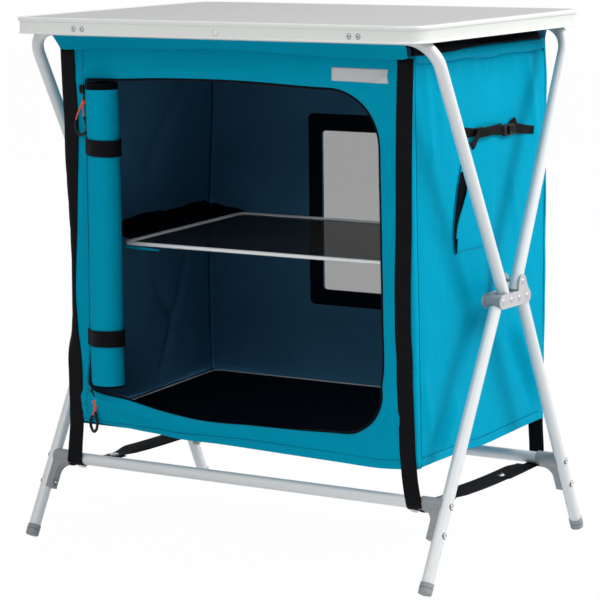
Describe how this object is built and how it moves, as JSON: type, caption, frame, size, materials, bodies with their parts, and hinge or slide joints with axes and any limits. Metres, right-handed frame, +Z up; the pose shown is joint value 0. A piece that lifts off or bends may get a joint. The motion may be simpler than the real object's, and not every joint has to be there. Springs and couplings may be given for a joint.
{
  "type": "folding camping cupboard",
  "caption": "Folding cloth cupboard on crossed tube legs, with a rimmed table top, a zipped roll-up door and a middle shelf.",
  "frame": {"origin": "on the ground, under the middle of the table top", "axes": "+Z up, front towards -Y, +X to the right of someone facing the front"},
  "size_m": [0.7256, 0.503, 0.8],
  "materials": {
    "table_laminate": "smooth light grey laminate",
    "rim_aluminium": "satin extruded rim",
    "bracket_steel": "plain pressed steel",
    "fastener_steel": "bright fasteners",
    "tube_aluminium": "satin grey tube",
    "plate_steel": "pressed plate",
    "grey_plastic": "moulded grey plastic",
    "blue_cloth": "coated woven cloth",
    "black_cloth": "coated woven cloth",
    "webbing": "flat woven webbing",
    "black_plastic": "moulded buckle",
    "mesh": "fine knitted mesh",
    "zip_tape": "coil zip on its tape",
    "patch": "blank woven patch",
    "pull_cord": "thin cord",
    "rod_steel": "thin rod",
    "board": "stiff covered board"
  },
  "bodies": {
    "cabinet": {"front_panel": "blue_cloth", "rear_panel": "blue_cloth", "side_panel_left": "blue_cloth", "side_panel_right": "blue_cloth", "floor_panel": "black_cloth", "roof_panel": "black_cloth", "front_skirt": "blue_cloth", "rear_skirt": "blue_cloth", "window_mesh": "mesh", "door_roll": "blue_cloth", "door_ties": "webbing", "zip_tape": "zip_tape", "zip_sliders": "fastener_steel", "front_straps": "webbing", "rear_straps": "webbing", "depth_straps": "webbing", "front_strap_studs": "fastener_steel", "rear_strap_studs": "fastener_steel", "depth_strap_studs": "fastener_steel", "side_strap": "webbing", "side_buckle": "black_plastic", "side_pocket": "blue_cloth", "name_patch": "patch", "shelf_sling": "black_cloth"},
    "table_top": {"top_panel": "table_laminate", "top_rim": "rim_aluminium", "top_cross_rail": "bracket_steel", "front_brackets": "bracket_steel", "rear_brackets": "bracket_steel", "rim_fasteners": "fastener_steel"},
    "upper_front": {"upper_front_frame": "tube_aluminium", "upper_front_knuckles": "grey_plastic"},
    "upper_rear": {"upper_rear_frame": "tube_aluminium", "upper_rear_knuckles": "grey_plastic", "hub_plate_outer_left": "plate_steel", "hub_plate_outer_right": "plate_steel", "hub_plate_inner_left": "plate_steel", "hub_plate_inner_right": "plate_steel", "hub_pivot_pins": "fastener_steel", "hub_fixed_rivets": "fastener_steel"},
    "lower_front": {"lower_front_leg_left": "tube_aluminium", "lower_front_leg_right": "tube_aluminium", "lower_front_crossbar": "tube_aluminium", "front_elbows": "grey_plastic", "lower_front_knuckles": "grey_plastic", "front_feet": "grey_plastic", "front_elbow_rivets": "fastener_steel"},
    "lower_rear": {"lower_rear_leg_left": "tube_aluminium", "lower_rear_leg_right": "tube_aluminium", "lower_rear_crossbar": "tube_aluminium", "rear_elbows": "grey_plastic", "lower_rear_knuckles": "grey_plastic", "rear_feet": "grey_plastic", "rear_elbow_rivets": "fastener_steel"},
    "middle_shelf": {"middle_shelf_frame": "rod_steel", "middle_shelf_mesh": "mesh"},
    "floor_board": {"floor_board_frame": "rod_steel", "floor_board": "board"},
    "top_zip_pull": {"zip_pull_top": "pull_cord"},
    "bottom_zip_pull": {"zip_pull_bottom": "pull_cord"}
  },
  "joints": [
    {"name": "frame_fold", "type": "hinge", "parent": "cabinet", "child": "upper_front", "pos_m": [0, -0.203, 0.78], "axis": [-1, 0, 0], "range_deg": [0, 27.7], "deforming": ["rear_panel", "side_panel_left", "side_panel_right", "floor_panel", "roof_panel", "rear_skirt", "window_mesh", "front_straps", "rear_straps", "depth_straps", "front_strap_studs", "rear_strap_studs", "depth_strap_studs", "side_strap", "side_buckle", "side_pocket", "shelf_sling", "door_roll", "door_ties"]},
    {"name": "rear_frame_fold", "type": "hinge", "parent": "upper_front", "child": "upper_rear", "pos_m": [0, 0.002, 0.391], "axis": [1, 0, 0], "range_deg": [0, 52.14]},
    {"name": "lower_front_fold", "type": "hinge", "parent": "upper_rear", "child": "lower_front", "pos_m": [0, -0.022, 0.391], "axis": [-1, 0, 0], "range_deg": [0, 164.22]},
    {"name": "lower_rear_fold", "type": "hinge", "parent": "upper_rear", "child": "lower_rear", "pos_m": [0, 0.05, 0.391], "axis": [1, 0, 0], "range_deg": [0, 109.9]},
    {"name": "shelf_fold", "type": "hinge", "parent": "cabinet", "child": "middle_shelf", "pos_m": [0, -0.13927, 0.42086], "axis": [1, 0, 0], "range_deg": [0, 88.17]},
    {"name": "floor_fold", "type": "hinge", "parent": "cabinet", "child": "floor_board", "pos_m": [0, -0.16645, 0.18372], "axis": [1, 0, 0], "range_deg": [0, 86.97]},
    {"name": "top_lift", "type": "slide", "parent": "cabinet", "child": "table_top", "axis": [0, 0, 1], "range_m": [0, 0.15]},
    {"name": "top_zip_pull_swing", "type": "hinge", "parent": "cabinet", "child": "top_zip_pull", "pos_m": [-0.267, -0.19624, 0.68987], "axis": [-1, 0, 0], "range_deg": [0, 100]},
    {"name": "bottom_zip_pull_swing", "type": "hinge", "parent": "cabinet", "child": "bottom_zip_pull", "pos_m": [-0.267, -0.18659, 0.22687], "axis": [-1, 0, 0], "range_deg": [0, 100]}
  ],
  "couplings": [
    {"joint": "rear_frame_fold", "follows": "frame_fold", "ratio": 1.8804},
    {"joint": "lower_front_fold", "follows": "frame_fold", "ratio": 5.9268},
    {"joint": "lower_rear_fold", "follows": "frame_fold", "ratio": 3.9656},
    {"joint": "shelf_fold", "follows": "frame_fold", "ratio": 3.1811},
    {"joint": "floor_fold", "follows": "frame_fold", "ratio": 3.1379}
  ]
}
